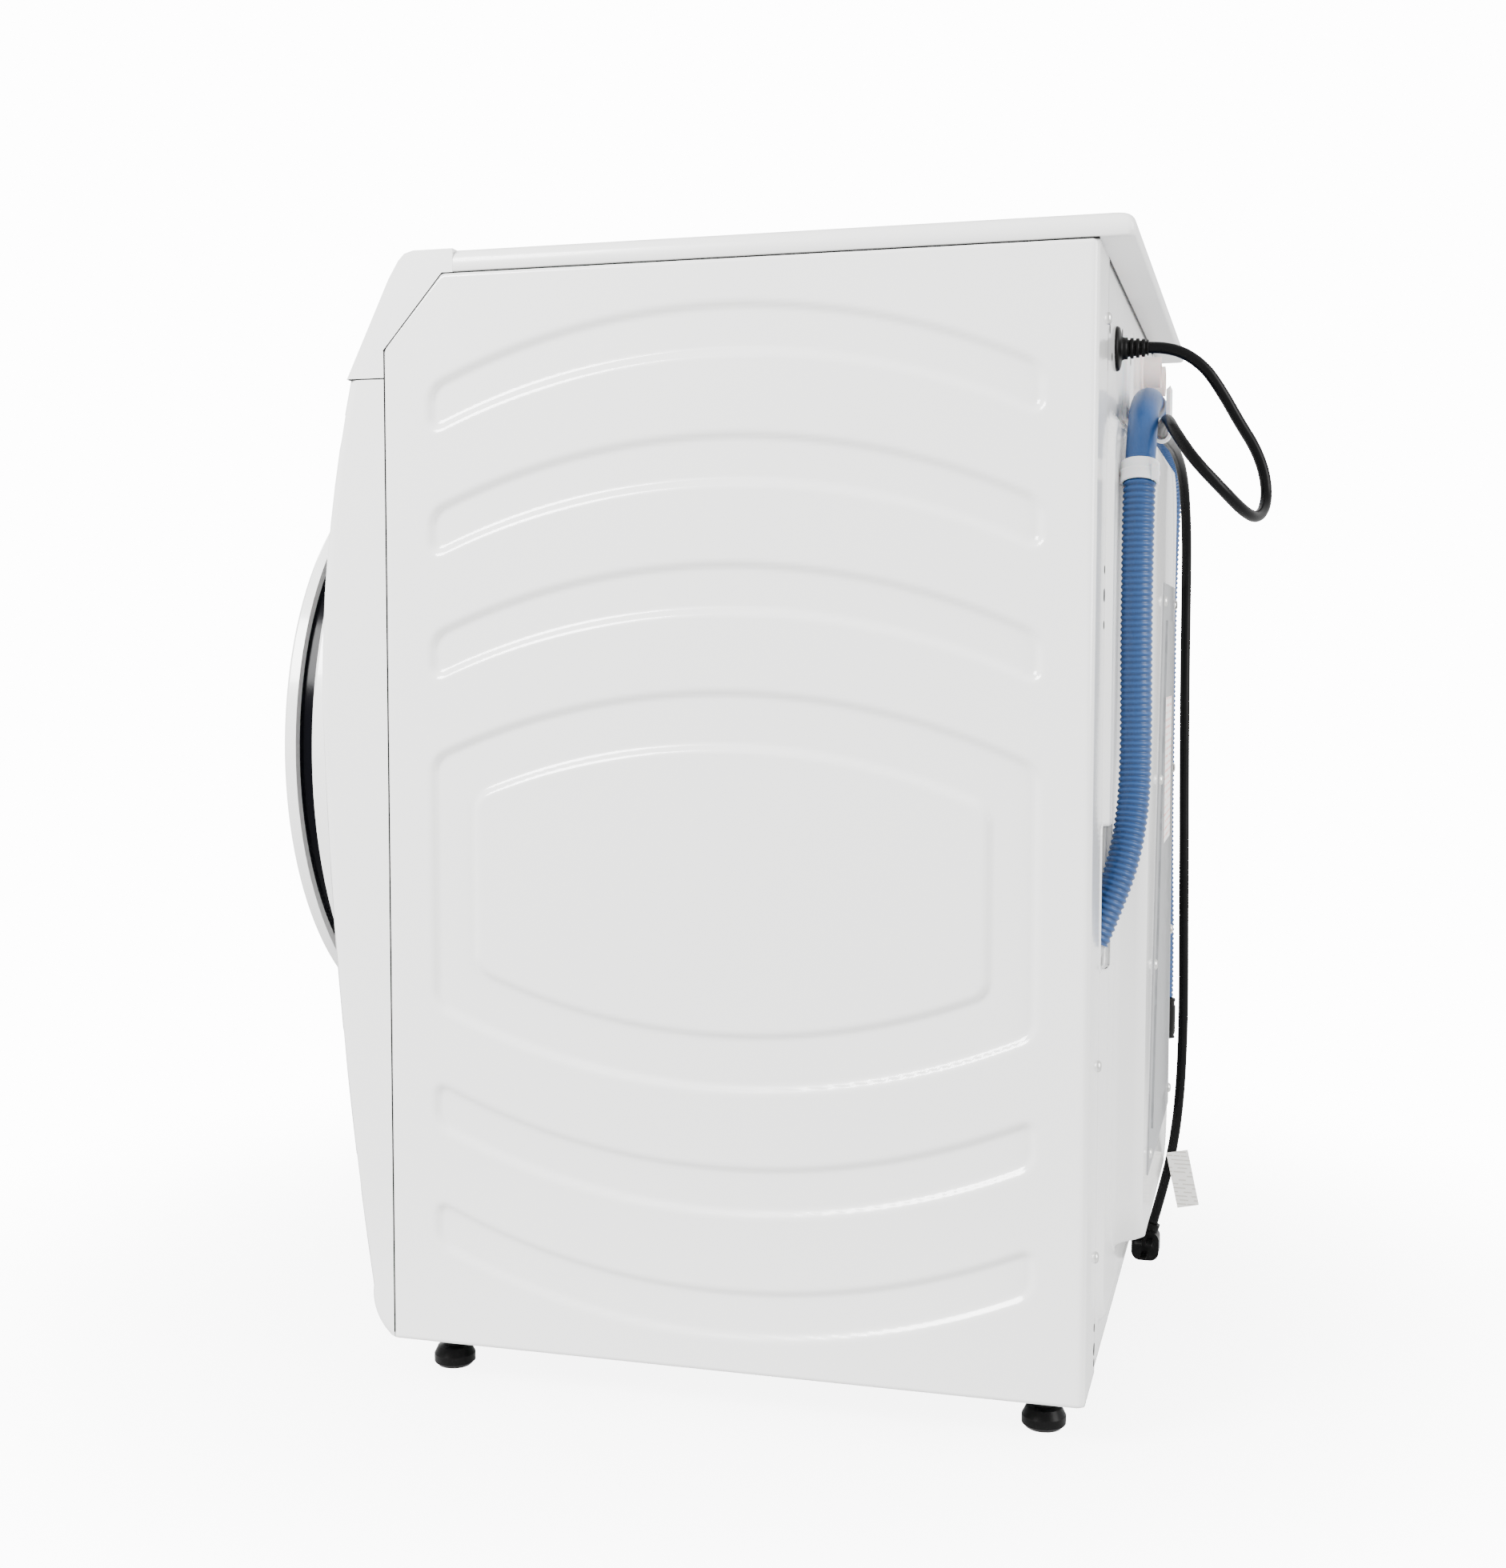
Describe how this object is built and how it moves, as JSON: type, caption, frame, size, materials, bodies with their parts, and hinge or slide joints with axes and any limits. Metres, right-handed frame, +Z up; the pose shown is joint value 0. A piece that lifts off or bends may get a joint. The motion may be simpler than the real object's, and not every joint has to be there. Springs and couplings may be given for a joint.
{
  "type": "front load washing machine",
  "caption": "White front load washing machine with a round smoked door, detergent drawer, sloping console, embossed side panels, rear drain hose and power cord.",
  "frame": {"origin": "on the floor under the middle of the machine's box", "axes": "+X to the right for a person facing the door, +Y to the rear, +Z up"},
  "size_m": [0.595, 0.754, 0.85],
  "materials": {
    "cabinet_paint": "gloss",
    "white_plastic": "gloss",
    "pale_moulding": "satin",
    "worktop_laminate": "satin",
    "galvanised": "satin",
    "zinc_screws": "satin",
    "door_dark": "gloss",
    "door_smoked": "gloss",
    "door_bowl": "clear",
    "display": "gloss",
    "knob_silver": "satin",
    "gasket_rubber": "matte",
    "tub_plastic": "matte",
    "stainless": "brushed",
    "cast_alloy": "cast",
    "belt_rubber": "matte",
    "motor_body": "satin",
    "ballast": "rough",
    "spring_steel": "satin",
    "damper_plastic": "satin",
    "pump_plastic": "satin",
    "hose_blue": "satin",
    "clip_white": "satin",
    "black_plastic": "satin",
    "cord_black": "gloss",
    "tag_paper": "matte",
    "spout_nylon": "satin"
  },
  "bodies": {
    "cabinet": {"side_panel_right": "cabinet_paint", "side_panel_left": "cabinet_paint", "rear_panel": "galvanised", "service_cover": "galvanised", "rear_screws": "zinc_screws", "base_tray": "galvanised", "worktop": "worktop_laminate", "top_frame": "galvanised", "front_panel": "cabinet_paint", "console": "white_plastic", "display_window": "display", "dispenser_housing": "pale_moulding", "inlet_valve": "spout_nylon", "door_lock": "black_plastic", "hinge_bracket": "zinc_screws", "drain_pump": "pump_plastic", "drain_hose": "hose_blue", "drain_hose_end": "black_plastic", "hose_clip": "clip_white", "hose_hook": "clip_white", "cord_gland": "black_plastic", "power_cord": "cord_black", "power_plug": "black_plastic", "cord_tag": "tag_paper", "door_gasket": "gasket_rubber", "suspension_springs": "spring_steel", "tub_hoses": "belt_rubber"},
    "door": {"door_ring": "white_plastic", "door_window": "door_smoked", "door_body": "door_dark", "door_frame": "door_dark", "door_glass": "door_bowl", "hinge_leaf": "zinc_screws"},
    "door_latch": {"door_hook": "zinc_screws"},
    "drawer": {"detergent_drawer": "white_plastic"},
    "knob": {"program_knob": "knob_silver"},
    "option_key": {"option_button": "white_plastic"},
    "start_key": {"start_button": "white_plastic"},
    "power_key": {"power_button": "white_plastic"},
    "filter_flap": {"filter_door": "white_plastic"},
    "filter_plug": {"filter_cap": "pale_moulding"},
    "tub": {"tub_front": "tub_plastic", "tub_rear": "tub_plastic", "drum_bearings": "spring_steel", "drive_belt": "belt_rubber", "motor": "motor_body", "counterweights": "ballast"},
    "drum_unit": {"drum": "stainless", "drum_lifters": "pale_moulding", "drum_spider": "cast_alloy", "drum_pulley": "cast_alloy"},
    "motor_rotor": {"motor_pulley": "spring_steel"},
    "damper_tube_left": {"damper_cylinder_left": "damper_plastic"},
    "damper_tube_right": {"damper_cylinder_right": "damper_plastic"},
    "damper_stem_left": {"damper_rod_left": "spring_steel"},
    "damper_stem_right": {"damper_rod_right": "spring_steel"},
    "foot_front_left": {"levelling_foot_front_left": "black_plastic"},
    "foot_front_right": {"levelling_foot_front_right": "black_plastic"},
    "foot_rear_left": {"levelling_foot_rear_left": "black_plastic"},
    "foot_rear_right": {"levelling_foot_rear_right": "black_plastic"}
  },
  "joints": [
    {"name": "door_hinge", "type": "hinge", "parent": "cabinet", "child": "door", "pos_m": [-0.238, -0.315, 0.475], "axis": [0, 0, -1], "range_deg": [0, 120]},
    {"name": "door_hook_pivot", "type": "hinge", "parent": "door", "child": "door_latch", "pos_m": [0.213, -0.278, 0.475], "axis": [0, 0, 1], "range_deg": [0, 6], "stiffness_Nm_per_rad": 0.3, "springref_deg": -2.86},
    {"name": "drawer_slide", "type": "slide", "parent": "cabinet", "child": "drawer", "axis": [0, -1, 0], "range_m": [0, 0.2]},
    {"name": "knob_turn", "type": "hinge", "parent": "cabinet", "child": "knob", "pos_m": [0, -0.23215, 0.794], "axis": [0, -0.9008, 0.4342], "continuous": true},
    {"name": "option_press", "type": "slide", "parent": "cabinet", "child": "option_key", "axis": [0, 0.9008, -0.4342], "range_m": [0, 0.0015], "stiffness_N_per_m": 800},
    {"name": "start_press", "type": "slide", "parent": "cabinet", "child": "start_key", "axis": [0, 0.9008, -0.4342], "range_m": [0, 0.0015], "stiffness_N_per_m": 800},
    {"name": "power_press", "type": "slide", "parent": "cabinet", "child": "power_key", "axis": [0, 0.9008, -0.4342], "range_m": [0, 0.0015], "stiffness_N_per_m": 800},
    {"name": "filter_door_hinge", "type": "hinge", "parent": "cabinet", "child": "filter_flap", "pos_m": [0.15, -0.233, 0.066], "axis": [1, 0, 0], "range_deg": [0, 95]},
    {"name": "filter_cap_turn", "type": "hinge", "parent": "cabinet", "child": "filter_plug", "pos_m": [0.15, -0.2, 0.1], "axis": [0, 1, 0], "range_deg": [0, 180]},
    {"name": "tub_bounce", "type": "slide", "parent": "cabinet", "child": "tub", "axis": [0, 0, 1], "range_m": [-0.01, 0.01], "stiffness_N_per_m": 10000, "springref_m": 0.0318, "deforming": ["door_gasket", "suspension_springs", "tub_hoses"]},
    {"name": "drum_spin", "type": "hinge", "parent": "tub", "child": "drum_unit", "pos_m": [0, 0, 0.475], "axis": [0, 1, 0], "continuous": true},
    {"name": "motor_spin", "type": "hinge", "parent": "tub", "child": "motor_rotor", "pos_m": [0.07, 0.2, 0.128], "axis": [0, 1, 0], "continuous": true},
    {"name": "damper_tube_pivot_left", "type": "hinge", "parent": "cabinet", "child": "damper_tube_left", "pos_m": [-0.23, 0, 0.075], "axis": [0, 1, 0], "range_deg": [-1, 1]},
    {"name": "damper_stem_pivot_left", "type": "hinge", "parent": "tub", "child": "damper_stem_left", "pos_m": [-0.185, 0, 0.255], "axis": [0, 1, 0], "range_deg": [-1, 1]},
    {"name": "damper_tube_pivot_right", "type": "hinge", "parent": "cabinet", "child": "damper_tube_right", "pos_m": [0.23, 0, 0.075], "axis": [0, 1, 0], "range_deg": [-1, 1]},
    {"name": "damper_stem_pivot_right", "type": "hinge", "parent": "tub", "child": "damper_stem_right", "pos_m": [0.185, 0, 0.255], "axis": [0, 1, 0], "range_deg": [-1, 1]},
    {"name": "foot_screw_front_left", "type": "slide", "parent": "cabinet", "child": "foot_front_left", "axis": [0, 0, 1], "range_m": [-0.01, 0.006]},
    {"name": "foot_screw_front_right", "type": "slide", "parent": "cabinet", "child": "foot_front_right", "axis": [0, 0, 1], "range_m": [-0.01, 0.006]},
    {"name": "foot_screw_rear_left", "type": "slide", "parent": "cabinet", "child": "foot_rear_left", "axis": [0, 0, 1], "range_m": [-0.01, 0.006]},
    {"name": "foot_screw_rear_right", "type": "slide", "parent": "cabinet", "child": "foot_rear_right", "axis": [0, 0, 1], "range_m": [-0.01, 0.006]}
  ],
  "couplings": [
    {"joint": "motor_spin", "follows": "drum_spin", "ratio": 12},
    {"joint": "damper_tube_pivot_left", "follows": "tub_bounce", "rad_per_m": -1.307},
    {"joint": "damper_stem_pivot_left", "follows": "tub_bounce", "rad_per_m": -1.307},
    {"joint": "damper_tube_pivot_right", "follows": "tub_bounce", "rad_per_m": 1.307},
    {"joint": "damper_stem_pivot_right", "follows": "tub_bounce", "rad_per_m": 1.307}
  ]
}
